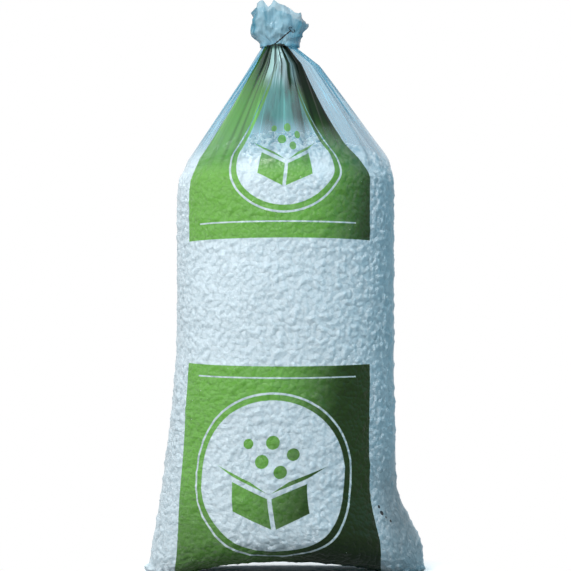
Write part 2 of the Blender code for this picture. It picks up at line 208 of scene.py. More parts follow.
def frillRow(turn, share):
    look = frillLook
    ragged = np.array([noise.noise(Vector((5 * math.cos(a), 5 * math.sin(a), 3.7))) for a in turn])
    cosine = signedPower(np.cos(turn), sack["fullness"])
    rimX, rimZ = zip(*look["rim"])
    rim = np.interp(sack["neckShift"] + sack["frillWidth"] / 2 * cosine, rimX, rimZ) - neckHigh
    rim -= look["backDrop"] * (np.sin(turn) > 0.1)
    height = share * (rim + share**3 * look["rag"] * ragged)
    spread = np.where(np.cos(turn) > 0, sack["rightSpread"], sack["leftSpread"])
    opened = smoothStep(height / spread)
    reach = sack["neckWidth"] / 2 + (sack["frillWidth"] - sack["neckWidth"]) / 2 * opened
    deepened = smoothStep(height / sack["rightSpread"])
    depth = sack["neckDepth"] / 2 + (sack["frillDepth"] - sack["neckDepth"]) / 2 * deepened
    lastOut = look["fold"][-1][0]
    pleat = sack["pleatDepth"] * pleatWave(turn)
    start = pleat + foldShare(turn) * (lastOut - pleat)
    out = start * (1 - smoothStep(share * 2.2))
    lobes = np.sin(look["lobes"] * turn + 2.0 * np.sin(2 * turn + 3 * share))
    out = out + look["ruffle"] * smoothStep(share * 2) * lobes
    x = sack["neckShift"] + reach * cosine
    y = depth * signedPower(np.sin(turn), sack["fullness"])
    z = neckHigh + height + foldShare(turn) * look["fold"][-1][1] * (1 - share)
    loose = smoothStep(share * 3.5) * (1 - 0.4 * share)
    crumple = np.array([
        look["crumple"] * (0.34 - abs(noise.noise(Vector((a * 24, b * 24, c * 20)))) * 1.5)
        + look["fine"] * (0.3 - abs(noise.noise(Vector((a * 52, b * 52, c * 46 + 9)))) * 1.4)
        for a, b, c in zip(x, y, z)
    ])
    out = out + loose * crumple
    return np.stack([x + out * np.cos(turn), y + out * np.sin(turn), z], axis=1)


def filmRows(turn):
    rows = [baseRow(turn, share) for share in np.linspace(0.04, 0.95, filmMesh["weldRows"])]
    rows += [roundRow(turn, degrees) for degrees in np.linspace(90, 4, filmMesh["roundRows"])]
    split = filmMesh["splitHeight"]
    low = sack["baseRound"]
    count = round((split - low) / filmMesh["bodyStep"])
    rows += [wallRow(turn, z) for z in np.linspace(low, split, count)]
    bodyRows = len(rows)
    count = round((neckLow - split) * 1.2 / filmMesh["coneStep"])
    rows += [wallRow(turn, z) for z in np.linspace(split, neckLow, count)[1:]]
    rows += [wallRow(turn, neckLow + sack["neckBand"])]
    rows += [foldRow(turn, out, rise) for out, rise in frillLook["fold"]]
    rows += [frillRow(turn, share) for share in np.linspace(0.02, 1, frillLook["rows"])]
    return np.array(rows), bodyRows


def outwardOf(grid):
    along = np.roll(grid, -1, axis=1) - np.roll(grid, 1, axis=1)
    up = np.empty_like(grid)
    up[1:-1] = grid[2:] - grid[:-2]
    up[0] = grid[1] - grid[0]
    up[-1] = grid[-1] - grid[-2]
    normal = np.cross(along, up)
    return normal / np.maximum(np.linalg.norm(normal, axis=2, keepdims=True), 1e-12)


turn = np.radians(np.arange(filmMesh["columns"]) * 360 / filmMesh["columns"])
sackGrid, bodyRows = filmRows(turn)
sackNormal = outwardOf(sackGrid)
print("sack surface laid out:", sackGrid.shape)


# Shader helpers
def newMaterial(name):
    made = bpy.data.materials.new(name)
    made.use_nodes = True
    nodes = made.node_tree.nodes
    return made, nodes, made.node_tree.links, nodes["Principled BSDF"]


def addNode(nodes, kind, **settings):
    made = nodes.new(kind)
    for key, value in settings.items():
        setattr(made, key, value)
    return made


def fedNode(nodes, links, kind, sources, **settings):
    made = addNode(nodes, kind, **settings)
    for name, source in sources.items():
        links.new(source, made.inputs[name])
    return made


def mathNode(nodes, links, operation, a, b=None, c=None, clamp=False):
    made = addNode(nodes, "ShaderNodeMath", operation=operation, use_clamp=clamp)
    for socket, value in zip(made.inputs, (a, b, c)):
        if value is None:
            continue
        if isinstance(value, (int, float)):
            socket.default_value = value
        else:
            links.new(value, socket)
    return made.outputs[0]


def mathTools(nodes, links):
    calc = partial(mathNode, nodes, links)
    names = ("MULTIPLY", "MULTIPLY_ADD", "ADD", "SUBTRACT")
    return calc, *(partial(calc, name) for name in names)


def rampNode(nodes, links, value, low, high, first=0.0, last=1.0):
    span = fedNode(nodes, links, "ShaderNodeMapRange", {"Value": value}, interpolation_type="SMOOTHSTEP")
    for name, number in (("From Min", low), ("From Max", high), ("To Min", first), ("To Max", last)):
        span.inputs[name].default_value = number
    return span.outputs["Result"]


def newGroup(name, kind, inputs, outputs):
    tree = bpy.data.node_groups.new(name, kind)
    for way, sockets in (("INPUT", inputs), ("OUTPUT", outputs)):
        for label, sort in sockets:
            tree.interface.new_socket(label, in_out=way, socket_type="NodeSocket" + sort)
    nodes = tree.nodes
    given, result = nodes.new("NodeGroupInput").outputs, nodes.new("NodeGroupOutput").inputs
    return tree, nodes, tree.links, given, result


def noiseNode(nodes, links, vector, scale, detail=2.0, roughness=0.5, distortion=0.0):
    made = fedNode(nodes, links, "ShaderNodeTexNoise", {"Vector": vector})
    values = (scale, detail, roughness, distortion)
    for name, value in zip(("Scale", "Detail", "Roughness", "Distortion"), values):
        made.inputs[name].default_value = value
    return made.outputs["Fac"]


def mixColours(nodes, links, first, second, factor):
    mix = addNode(nodes, "ShaderNodeMix", data_type="RGBA")
    for socket, value in ((mix.inputs["A"], first), (mix.inputs["B"], second)):
        if isinstance(value, tuple):
            socket.default_value = (*value, 1)
        else:
            links.new(value, socket)
    links.new(factor, mix.inputs["Factor"])
    return mix.outputs["Result"]


# Foam peanuts
foamLook = {
    "colour": (0.87, 0.89, 0.90), "shade": (0.78, 0.82, 0.85), "roughness": 0.75,
    "cell": 900, "cloud": 60, "bump": 0.25, "bumpDepth": 0.0006,
}


def makeFoam():
    made, nodes, links, shader = newMaterial("whiteFoam")
    place = nodes.new("ShaderNodeTexCoord").outputs["Object"]
    cells = fedNode(nodes, links, "ShaderNodeTexVoronoi", {"Vector": place})
    cells.inputs["Scale"].default_value = foamLook["cell"]
    cloud = noiseNode(nodes, links, place, foamLook["cloud"])
    tone = mixColours(nodes, links, foamLook["colour"], foamLook["shade"], cloud)
    links.new(tone, shader.inputs["Base Color"])
    bump = fedNode(nodes, links, "ShaderNodeBump", {"Height": cells.outputs["Distance"]})
    bump.inputs["Strength"].default_value = foamLook["bump"]
    bump.inputs["Distance"].default_value = foamLook["bumpDepth"]
    links.new(bump.outputs["Normal"], shader.inputs["Normal"])
    shader.inputs["Roughness"].default_value = foamLook["roughness"]
    return made


foam = makeFoam()

peanutLook = {"length": 0.033, "width": 0.0185, "waist": 0.68, "bend": 0.006, "blunt": 3.2, "flat": 0.8}


def peanutMesh(name, sides, steps):
    # two lobes with a waist, bent like a saddle
    look = peanutLook
    bm = bmesh.new()
    rings = []
    for k in range(steps):
        t = -1 + 2 * (k + 0.5) / steps
        lobe = 1 - (1 - look["waist"]) * math.cos(math.pi * t / 2) ** 4
        radius = look["width"] / 2 * lobe * math.sqrt(1 - abs(t) ** look["blunt"])
        ring = []
        for j in range(sides):
            a = math.tau * j / sides
            height = look["flat"] * radius * math.sin(a) + look["bend"] * (0.5 - t * t)
            ring.append(bm.verts.new((look["length"] / 2 * t, radius * math.cos(a), height)))
        rings.append(ring)
    for low, high in zip(rings, rings[1:]):
        for j in range(sides):
            n = (j + 1) % sides
            bm.faces.new((low[j], low[n], high[n], high[j]))
    for ring, end in ((rings[0], -1), (rings[-1], 1)):
        tip = bm.verts.new((end * look["length"] / 2, 0, -look["bend"] / 2))
        for j in range(sides):
            bm.faces.new((ring[j], ring[(j + 1) % sides], tip))
    bmesh.ops.recalc_face_normals(bm, faces=bm.faces)
    mesh = bpy.data.meshes.new(name)
    bm.to_mesh(mesh)
    bm.free()
    mesh.shade_smooth()
    return mesh


def linkObject(name, mesh):
    made = bpy.data.objects.new(name, mesh)
    scene.collection.objects.link(made)
    return made


def gridMesh(name, grid, closeLow=False, closeHigh=False):
    rows, columns = grid.shape[:2]
    index = np.arange(rows * columns).reshape(rows, columns)
    right = np.roll(index, -1, axis=1)
    faces = np.stack([index[:-1], right[:-1], right[1:], index[1:]], axis=-1).reshape(-1, 4).tolist()
    half = columns // 2
    if closeLow:
        ring = index[0].tolist()
        faces.append([ring[0], ring[-1], ring[1]])
        faces += [[ring[k], ring[-k], ring[-k - 1], ring[k + 1]] for k in range(1, half - 1)]
        faces.append([ring[half - 1], ring[half + 1], ring[half]])
    if closeHigh:
        faces.append(index[-1].tolist())
    mesh = bpy.data.meshes.new(name)
    mesh.from_pydata(grid.reshape(-1, 3).tolist(), [], faces)
    mesh.shade_smooth()
    return mesh


packLook = {
    "depth": 0.0102, "middle": 0.60, "lowest": 0.0025, "sizes": (0.85, 1.12),
    "scatter": {"Spacing": 0.0176, "Density": 6000.0, "Tilt": 0.38, "Sink": 0.005},
}


# Scatters one shape over a surface: the same tree serves the body, the heap and its loose top
def makeScatterTree():
    tree, nodes, links, given, result = newGroup(
        "scatterPeanuts", "GeometryNodeTree",
        (("Geometry", "Geometry"), ("Shape", "Object"), ("Spacing", "Float"), ("Density", "Float"),
         ("Tilt", "Float"), ("Sink", "Float"), ("Seed", "Int"), ("Finish", "Material")),
        (("Geometry", "Geometry"),))

    fed = partial(fedNode, nodes, links)
    points = fed("GeometryNodeDistributePointsOnFaces", {
        "Mesh": given["Geometry"], "Distance Min": given["Spacing"], "Density Max": given["Density"],
        "Seed": given["Seed"],
    }, distribute_method="POISSON")
    # sink each point into the filling by a random depth
    depth = fed("FunctionNodeRandomValue", {"Seed": given["Seed"]}, data_type="FLOAT")
    down = mathNode(nodes, links, "MULTIPLY", depth.outputs[1], given["Sink"])
    back = mathNode(nodes, links, "MULTIPLY", down, -1)
    shift = fed("ShaderNodeVectorMath", {0: points.outputs["Normal"], "Scale": back}, operation="SCALE")
    moved = fed("GeometryNodeSetPosition", {"Geometry": points.outputs["Points"], "Offset": shift.outputs[0]})
    shape = fed("GeometryNodeObjectInfo", {"Object": given["Shape"]})
    size = addNode(nodes, "FunctionNodeRandomValue", data_type="FLOAT")
    size.inputs[2].default_value, size.inputs[3].default_value = packLook["sizes"]
    place = fed("GeometryNodeInstanceOnPoints", {
        "Points": moved.outputs["Geometry"], "Instance": shape.outputs["Geometry"],
        "Rotation": points.outputs["Rotation"], "Scale": size.outputs[1],
    })
    # a full turn about the normal and a tilt either way
    back = mathNode(nodes, links, "MULTIPLY", given["Tilt"], -1)
    low = fed("ShaderNodeCombineXYZ", {0: back, 1: back})
    high = fed("ShaderNodeCombineXYZ", {0: given["Tilt"], 1: given["Tilt"]})
    high.inputs[2].default_value = math.tau
    spin = fed("FunctionNodeRandomValue", {
        "Seed": given["Seed"], 0: low.outputs[0], 1: high.outputs[0],
    }, data_type="FLOAT_VECTOR")
    rotate = fed("GeometryNodeRotateInstances", {
        "Instances": place.outputs["Instances"], "Rotation": spin.outputs[0],
    })
    real = fed("GeometryNodeRealizeInstances", {"Geometry": rotate.outputs["Instances"]})
    finish = fed("GeometryNodeSetMaterial", {
        "Geometry": real.outputs["Geometry"], "Material": given["Finish"],
    })
    links.new(finish.outputs["Geometry"], result["Geometry"])
    return tree


def scatter(name, tree, ground, shape, **values):
    carrier = linkObject(name + "Ground", ground)
    modifier = carrier.modifiers.new("scatter", "NODES")
    modifier.node_group = tree
    sockets = {item.name: item.identifier for item in tree.interface.items_tree if item.in_out == "INPUT"}
    modifier[sockets["Shape"]] = shape
    modifier[sockets["Finish"]] = foam
    for key, value in values.items():
        modifier[sockets[key]] = value
    bpy.context.view_layer.update()
    graph = bpy.context.evaluated_depsgraph_get()
    mesh = bpy.data.meshes.new_from_object(carrier.evaluated_get(graph))
    mesh.name = name
    for vertex in mesh.vertices:
        vertex.co.z = max(vertex.co.z, packLook["lowest"])
    bpy.data.objects.remove(carrier)
    mesh.shade_smooth()
    print(name, len(mesh.polygons), "faces")
    return linkObject(name, mesh)


tree = makeScatterTree()
plainPeanut = linkObject("plainPeanut", peanutMesh("plainPeanut", 6, 5))
finePeanut = linkObject("finePeanut", peanutMesh("finePeanut", 10, 9))

everyFourth = slice(None, None, 4)
ground = sackGrid[:bodyRows:3, everyFourth] - packLook["depth"] * sackNormal[:bodyRows:3, everyFourth]
bandOf = ground[:, :, 2].mean(axis=1)
middleRow = int(np.searchsorted(bandOf, packLook["middle"]))
lowerGround = gridMesh("lowerGround", ground[:middleRow + 1])
lowerPack = scatter("lowerPack", tree, lowerGround, plainPeanut, Seed=4, **packLook["scatter"])
upperGround = gridMesh("upperGround", ground[middleRow:])
upperPack = scatter("upperPack", tree, upperGround, plainPeanut, Seed=5, **packLook["scatter"])


def heapGround(lower, shares, sag):
    # rings drawn in from the sack's section at the heap's edge, rising to the middle
    edge = wallRow(turn[::6], sack["heapEdge"])
    middle = edge.mean(axis=0)
    rings = []
    for share in shares:
        ring = middle + share * (edge - middle)
        ring[:, 2] = sack["heapEdge"] + sack["heapRise"] * (1 - share**2.2) - lower
        ring[:, 2] += sag * np.sin(5 * turn[::6] + 9 * share)
        rings.append(ring)
    return np.array(rings)


heapLook = {
    "bed": {"Spacing": 0.0172, "Density": 8000.0, "Tilt": 0.9, "Sink": 0.012},
    "top": {"Spacing": 0.025, "Density": 3000.0, "Tilt": 0.9, "Sink": 0.010},
}
heapShares = (0.95, 0.88, 0.78, 0.66, 0.52, 0.36, 0.20, 0.06)
lowGround = gridMesh("heapGroundLow", heapGround(0.006, heapShares, 0.002), closeHigh=True)
heapBed = scatter("heapBed", tree, lowGround, finePeanut, Seed=8, **heapLook["bed"])
highGround = gridMesh("heapGroundHigh", heapGround(-0.004, heapShares[1:], 0.004), closeHigh=True)
heapTop = scatter("heapTop", tree, highGround, finePeanut, Seed=9, **heapLook["top"])


# The CAD's single peanuts, smoothed, lie among the rest
def smoothCopy(name, nodeNames):
    bm = bmesh.new()
    for nodeName in nodeNames:
        bm.from_mesh(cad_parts[nodeName].data)
    bmesh.ops.remove_doubles(bm, verts=bm.verts, dist=0.00002)
    mesh = bpy.data.meshes.new(name)
    bm.to_mesh(mesh)
    bm.free()
    mesh.materials.clear()
    mesh.materials.append(foam)
    mesh.shade_smooth()
    return linkObject(name, mesh)


peanutNodes = sorted(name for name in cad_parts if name.startswith("loose_peanut"))
loosePeanuts = smoothCopy("loosePeanuts", peanutNodes)

# White core behind the outer peanuts, so that no gap between them shows through the sack
coreLook = {"depth": 0.017, "topDepth": 0.020, "top": 1.185, "lowest": 0.004}
coreRows = sackGrid[2:bodyRows:6, everyFourth] - coreLook["depth"] * sackNormal[2:bodyRows:6, everyFourth]
coreRows = coreRows[coreRows[:, :, 2].mean(axis=1) < coreLook["top"]]
coreRows[:, :, 2] = np.maximum(coreRows[:, :, 2], coreLook["lowest"])
topCore = heapGround(coreLook["topDepth"], heapShares, 0)
topCore = topCore[:, np.arange(coreRows.shape[1]) * topCore.shape[1] // coreRows.shape[1]]
core = linkObject("packCore", gridMesh("packCore", np.concatenate([coreRows, topCore]), True, True))
core.data.materials.append(foam)
print("filling scattered")


# Film: pushed out over the peanuts behind it and stretched flat between them
drapeLook = {
    "start": 0.014, "reach": 0.028, "stretch": 1, "soften": 1, "gap": 0.0010, "peakReach": 0.014,
    "sag": 0.005, "rise": 0.012, "lowest": 0.0006, "looseFrom": 1.235,
}


def surfaceTree(objects):
    points = []
    faces = []
    for obj in objects:
        count = len(obj.data.vertices)
        coords = np.empty(count * 3)
        obj.data.vertices.foreach_get("co", coords)
        first = len(points)
        points += coords.reshape(-1, 3).tolist()
        faces += [[first + i for i in polygon.vertices] for polygon in obj.data.polygons]
    return BVHTree.FromPolygons(points, faces)


def spread(field, pick, times):
    for _ in range(times):
        beside = [field, np.roll(field, 1, axis=1), np.roll(field, -1, axis=1)]
        field = pick(beside, axis=0)
        up = np.vstack([field[:1], field[:-1]])
        down = np.vstack([field[1:], field[-1:]])
        field = pick([field, up, down], axis=0)
    return field


def drape(grid, normal, tree, peaks, rest):
    look = drapeLook
    nearest = KDTree(grid.shape[0] * grid.shape[1])
    for index, point in enumerate(grid.reshape(-1, 3)):
        nearest.insert(point, index)
    nearest.balance()
    height = np.full(grid.shape[:2], -look["sag"])
    for row in range(len(grid)):
        for column in range(grid.shape[1]):
            out = Vector(normal[row, column])
            start = Vector(grid[row, column]) + look["start"] * out
            hit = tree.ray_cast(start, -out, look["reach"])
            if hit[0] is not None:
                height[row, column] = look["start"] - hit[3]
    found = []
    for point in peaks:
        near, index, away = nearest.find(point)
        row, column = divmod(index, grid.shape[1])
        out = Vector(normal[row, column])
        lift = (point - near).dot(out)
        found.append((row, column, out, lift))
        if away < look["peakReach"]:
            height[row, column] = max(height[row, column], lift)
    height = np.clip(height, -look["sag"], look["rise"])
    film = spread(height, np.max, look["stretch"])
    film = spread(film, np.mean, look["soften"])
    film = np.maximum(film, height + look["gap"])
    film = film * rest[:, None]
    # a peanut that would still poke out is pressed flat behind the film
    for point, (row, column, out, lift) in zip(peaks, found):
        excess = lift - float(film[row, column]) + look["gap"]
        if excess > 0:
            point -= out * excess
    made = grid + film[:, :, None] * normal
    made[:, :, 2] = np.maximum(made[:, :, 2], look["lowest"])
    return made


rowHeight = sackGrid[:, :, 2].mean(axis=1)
looseFrom = drapeLook["looseFrom"]
touch = smoothStep((looseFrom - rowHeight) / 0.03) * smoothStep(np.arange(len(sackGrid)) / 8)
touching = int(np.searchsorted(rowHeight[bodyRows:], looseFrom)) + bodyRows
packTree = surfaceTree([lowerPack, upperPack, heapBed, loosePeanuts])
peaks = [vertex.co for pack in (lowerPack, upperPack) for vertex in pack.data.vertices]
drapedGrid = sackGrid.copy()
drapedGrid[:touching] = drape(sackGrid[:touching], sackNormal[:touching], packTree, peaks, touch[:touching])
print("film draped")


printWidening = 0.62  # share of the sack's widening that the print doesn't follow


def filmMap(grid):
    # the print's map in metres: across from the middle of the front, and up along the film
    side = np.linalg.norm(np.roll(grid, -1, axis=1) - grid, axis=2)
    columns = grid.shape[1]
    front = columns * 3 // 4
    order = [(front + k) % columns for k in range(columns)]
    middle = side[np.argmin(np.abs(rowHeight - 0.8))]
    walked = np.concatenate([[0], np.cumsum(middle[order])])
    total = walked[-1]
    across = np.empty(columns)
    for k, column in enumerate(order):
        across[column] = walked[k] if k < columns // 2 else walked[k] - total
    reaches = [[flank(min(z, 1.0), way) for way in (-1, 1)] for z in rowHeight]
    widening = np.array(reaches) * 2 / sack["bodyWidth"] - 1
    beside = smoothStep((0.85 - np.abs(across)) / 0.45)[None, :]
    widening = printWidening * np.where(across[None, :] < 0, widening[:, :1], widening[:, 1:])
    across = (1 + widening * beside) * across[None, :]
    along = np.linalg.norm(np.diff(grid[:, front], axis=0), axis=1)
    up = np.concatenate([[0], np.cumsum(along)])
    up += grid[bodyRows - 1, front, 2] - up[bodyRows - 1]
    return across, np.repeat(up[:, None], columns, axis=1), total


mapAcross, mapUp, girth = filmMap(sackGrid)


def addFilmMap(mesh, rows):
    layer = mesh.uv_layers.new(name="film")
    columns = filmMesh["columns"]
    start = rows.start or 0
    corners = np.empty(len(mesh.loops), dtype=int)
    mesh.loops.foreach_get("vertex_index", corners)
    row = corners // columns + start
    column = corners % columns
    u = mapAcross[row, column].copy()
    v = mapUp[row, column]
    # the faces that close the map at the back take one side's values
    back = (column == columns // 4)
    starts = np.empty(len(mesh.polygons), dtype=int)
    mesh.polygons.foreach_get("loop_start", starts)
    sizes = np.empty(len(mesh.polygons), dtype=int)
    mesh.polygons.foreach_get("loop_total", sizes)
    for first, size in zip(starts, sizes):
        if back[first:first + size].any():
            loop = slice(first, first + size)
            signs = u[loop]
            if signs.min() < 0 < signs.max() and size == 4:
                u[loop] = np.where(signs < 0, signs + girth, signs)
    layer.data.foreach_set("uv", np.stack([u, v], axis=1).ravel())


sackBody = linkObject("sackBody", gridMesh("sackBody", drapedGrid[:bodyRows], closeLow=True))
addFilmMap(sackBody.data, slice(0, bodyRows))
sackTop = linkObject("sackTop", gridMesh("sackTop", drapedGrid[bodyRows - 1:]))
addFilmMap(sackTop.data, slice(bodyRows - 1, len(drapedGrid)))
print("film meshes made")

# Print: two green fields on the front, each with a clear round window and a carton drawn in it
printLook = {
    "left": -0.335, "right": 0.272, "edgeSoft": 0.0015,
    "bow": 0.007, "bowSpread": -11.0, "leanSlope": 5.5, "leanStart": -4.4,
    "upperLow": 0.984, "upperHigh": 1.652, "lowerLow": -0.160, "lowerHigh": 0.624,
    "upperWindow": (-0.005, 1.245, 0.165, 0.250, 0.25), "lowerWindow": (-0.030, 0.290, 0.215, 0.020, 0.0),
    "bendLow": 1.165, "bendHigh": 1.31, "rightBend": 0.37, "leftBend": 0.04, "rightNarrow": 1.5,
    "ringAway": 0.020, "ringHalf": 0.0030, "lineShare": 0.82, "lineWidth": 0.004, "lineUp": 0.048,
    "lineDown": 0.034,
}


# An open carton seen from its corner, with round drops over it; all as shares of the window's radius
cartonLook = {
    "faces": (
        ((-0.52, -0.02), (-0.52, -0.42), (-0.03, -0.66), (-0.03, -0.24)),
        ((0.03, -0.24), (0.03, -0.66), (0.50, -0.44), (0.50, -0.04)),
        ((-0.52, 0.05), (-0.03, -0.17), (-0.26, -0.02), (-0.76, 0.20)),
        ((0.03, -0.17), (0.50, 0.03), (0.74, 0.18), (0.26, -0.01)),
    ),
    "drops": (
        (-0.12, 0.26, 0.095), (0.14, 0.12, 0.090), (0.30, 0.36, 0.085),
        (0.02, 0.52, 0.095), (-0.32, 0.50, 0.07),
    ),
}


def makeCartonGroup():
    tree, nodes, links, given, result = newGroup(
        "cartonDrawing", "ShaderNodeTree",
        (("Across", "Float"), ("Up", "Float"), ("Size", "Float")), (("Distance", "Float"),))
    calc, times, timesPlus, plus, minus = mathTools(nodes, links)
    x = calc("DIVIDE", given["Across"], given["Size"])
    y = calc("DIVIDE", given["Up"], given["Size"])
    shape = None
    for corners in cartonLook["faces"]:
        side = None
        for (ax, ay), (bx, by) in zip(corners, corners[1:] + corners[:1]):
            length = math.hypot(bx - ax, by - ay)
            nx, ny = (ay - by) / length, (bx - ax) / length
            # outside lies against (nx, ny), as the corners run anticlockwise
            away = timesPlus(x, -nx, ax * nx + ay * ny)
            away = timesPlus(y, -ny, away)
            side = away if side is None else calc("MAXIMUM", side, away)
        shape = side if shape is None else calc("MINIMUM", shape, side)
    for px, py, radius in cartonLook["drops"]:
        dx = minus(x, px)
        dy = minus(y, py)
        square = timesPlus(dx, dx, times(dy, dy))
        shape = calc("MINIMUM", shape, minus(calc("SQRT", square), radius))
    links.new(times(shape, given["Size"]), result["Distance"])
    return tree


cartonTree = makeCartonGroup()


def makePrintGroup():
    tree, nodes, links, given, result = newGroup(
        "filmPrint", "ShaderNodeTree",
        (("Across", "Float"), ("Up", "Float")), (("Print", "Float"), ("Field", "Float")))
    calc, times, timesPlus, plus, minus = mathTools(nodes, links)
    across, up = given["Across"], given["Up"]
    look = printLook

    def soft(distance):
        # 1 where the distance is negative, with a narrow soft edge
        return timesPlus(distance, -1 / look["edgeSoft"], 0.5, clamp=True)

    def bar(x, y, width, height, middleX, middleY):
        # signed distance of a box
        dx = minus(calc("ABSOLUTE", minus(x, middleX)), width / 2)
        dy = minus(calc("ABSOLUTE", minus(y, middleY)), height / 2)
        return calc("MAXIMUM", dx, dy)

    # on the cone the film is drawn together more at the right, so the print narrows
    bend = rampNode(nodes, links, up, look["bendLow"], look["bendHigh"])
    narrow = calc("MAXIMUM", minus(up, look["bendHigh"]), 0.0)
    narrow = times(narrow, look["rightNarrow"])
    narrow = timesPlus(bend, look["rightBend"] - look["leftBend"], narrow)
    gain = times(narrow, calc("GREATER_THAN", across, 0.0))
    gain = plus(timesPlus(bend, look["leftBend"], 1.0), gain)
    across = times(across, gain)
    # the fields bow with the round front: up on the upper one, down on the lower
    lean = calc("MINIMUM", calc("MAXIMUM", timesPlus(up, look["leanSlope"], look["leanStart"]), -1), 1)
    bowed = timesPlus(times(across, across), look["bowSpread"], 1.0)
    up = timesPlus(times(lean, bowed), -look["bow"], up)
    fields = []
    whole = []
    wide = look["right"] - look["left"]
    middle = (look["right"] + look["left"]) / 2
    for low, high, (windowX, windowY, radius, rise, taper), strip in (
        (look["upperLow"], look["upperHigh"], look["upperWindow"], 1),
        (look["lowerLow"], look["lowerHigh"], look["lowerWindow"], -1),
    ):
        field = bar(across, up, wide, high - low, middle, (low + high) / 2)
        whole.append(field)
        x = minus(across, windowX)
        y = minus(up, windowY)
        level = calc("MINIMUM", calc("MAXIMUM", y, 0.0), rise)
        above = minus(y, level)
        away = calc("SQRT", timesPlus(x, x, times(above, above)))
        window = minus(timesPlus(level, taper, away), radius)
        ring = minus(calc("ABSOLUTE", minus(window, look["ringAway"])), look["ringHalf"])
        field = calc("MAXIMUM", field, times(window, -1))
        field = calc("MAXIMUM", field, times(ring, -1))
        drawing = fedNode(nodes, links, "ShaderNodeGroup", {"Across": x, "Up": y}, node_tree=cartonTree)
        drawing.inputs["Size"].default_value = radius
        field = calc("MINIMUM", field, drawing.outputs["Distance"])
        edge = low + look["lineUp"] if strip > 0 else high - look["lineDown"]
        line = bar(across, up, look["lineShare"] * wide, look["lineWidth"], middle, edge)
        field = calc("MAXIMUM", field, times(line, -1))
        fields.append(field)
    links.new(soft(calc("MINIMUM", *fields)), result["Print"])
    links.new(soft(calc("MINIMUM", *whole)), result["Field"])
    return tree


# Bumps of the peanuts under tight film: rounded cells with narrow creases between them
bumpLook = {
    "cells": 84, "soft": 0.25, "ripple": 0.012, "rippleScale": 40, "fine": 190, "fineShare": 0.22,
    "crease": (2.4, -0.9),
}


def makeBumpGroup():
    tree, nodes, links, given, result = newGroup(
        "peanutBumps", "ShaderNodeTree",
        (("Place", "Vector"),), (("Height", "Float"), ("Crease", "Float")))
    fed = partial(fedNode, nodes, links)
    place = given["Place"]
    wander = fed("ShaderNodeTexNoise", {"Vector": place})
    wander.inputs["Scale"].default_value = bumpLook["rippleScale"]
    shift = fed("ShaderNodeVectorMath", {0: wander.outputs["Color"], 2: place}, operation="MULTIPLY_ADD")
    shift.inputs[1].default_value = (bumpLook["ripple"],) * 3
    cells = fed("ShaderNodeTexVoronoi", {"Vector": shift.outputs[0]}, feature="SMOOTH_F1")
    cells.inputs["Scale"].default_value = bumpLook["cells"]
    cells.inputs["Smoothness"].default_value = bumpLook["soft"]
    fine = noiseNode(nodes, links, place, bumpLook["fine"], 3)
    away = cells.outputs["Distance"]
    timesPlus = partial(mathNode, nodes, links, "MULTIPLY_ADD")
    low = mathNode(nodes, links, "MULTIPLY", away, away)
    height = timesPlus(fine, bumpLook["fineShare"], timesPlus(low, -1.0, 1.0))
    links.new(height, result["Height"])
    # the crease mask feeds the film's painted shade
    links.new(timesPlus(away, *bumpLook["crease"], clamp=True), result["Crease"])
    return tree


bumpTree = makeBumpGroup()
filmLook = {
    "turnLow": 1.175, "turnHigh": 1.245, "tintLow": 1.205, "tintHigh": 1.300,
    "neckLow": 1.36, "neckHigh": 1.63, "neckInk": 0.25,
    "clear": ((0.65, 0.77, 0.83), (0.12, 0.37, 0.50)), "clearAlpha": (0.64, 0.44), "shadowShare": 0.40,
    "green": ((0.145, 0.385, 0.055), (0.090, 0.300, 0.048)), "greenAlpha": (0.95, 0.90),
    "veil": (0.040, 0.205, 0.175), "streak": (0.008, 0.055, 0.020), "paleHighlight": (0.46, 0.66, 0.70),
    "backGlow": (0.0, 0.006, 0.012),
    "frillLow": 1.640, "frillHigh": 1.670, "frillPale": (0.29, 0.48, 0.57), "frillDark": (0.06, 0.24, 0.33),
    "bumps": 0.44, "fold": 0.34, "wrinkle": 0.16, "crumple": 0.45, "ripple": 0.35,
    "shade": 0.08, "foldShade": -0.46, "glint": 0.60, "earShade": -0.56, "patchDarkening": -0.55,
    "foldScale": 19, "patchScale": 34, "cloudScale": 14, "patchNoiseScale": 15, "wrinkleScale": 90,
    "rippleScale": 62, "facetScale": 30, "bumpDepth": 0.006, "roughness": (0.38, 0.18), "gloss": 0.15,
    "specks": (
        (0.300, 0.203, 0.0050), (0.305, 0.184, 0.0065), (0.319, 0.171, 0.0044), (0.336, 0.160, 0.0048),
    ),
    "speckColour": (0.02, 0.022, 0.025),
}


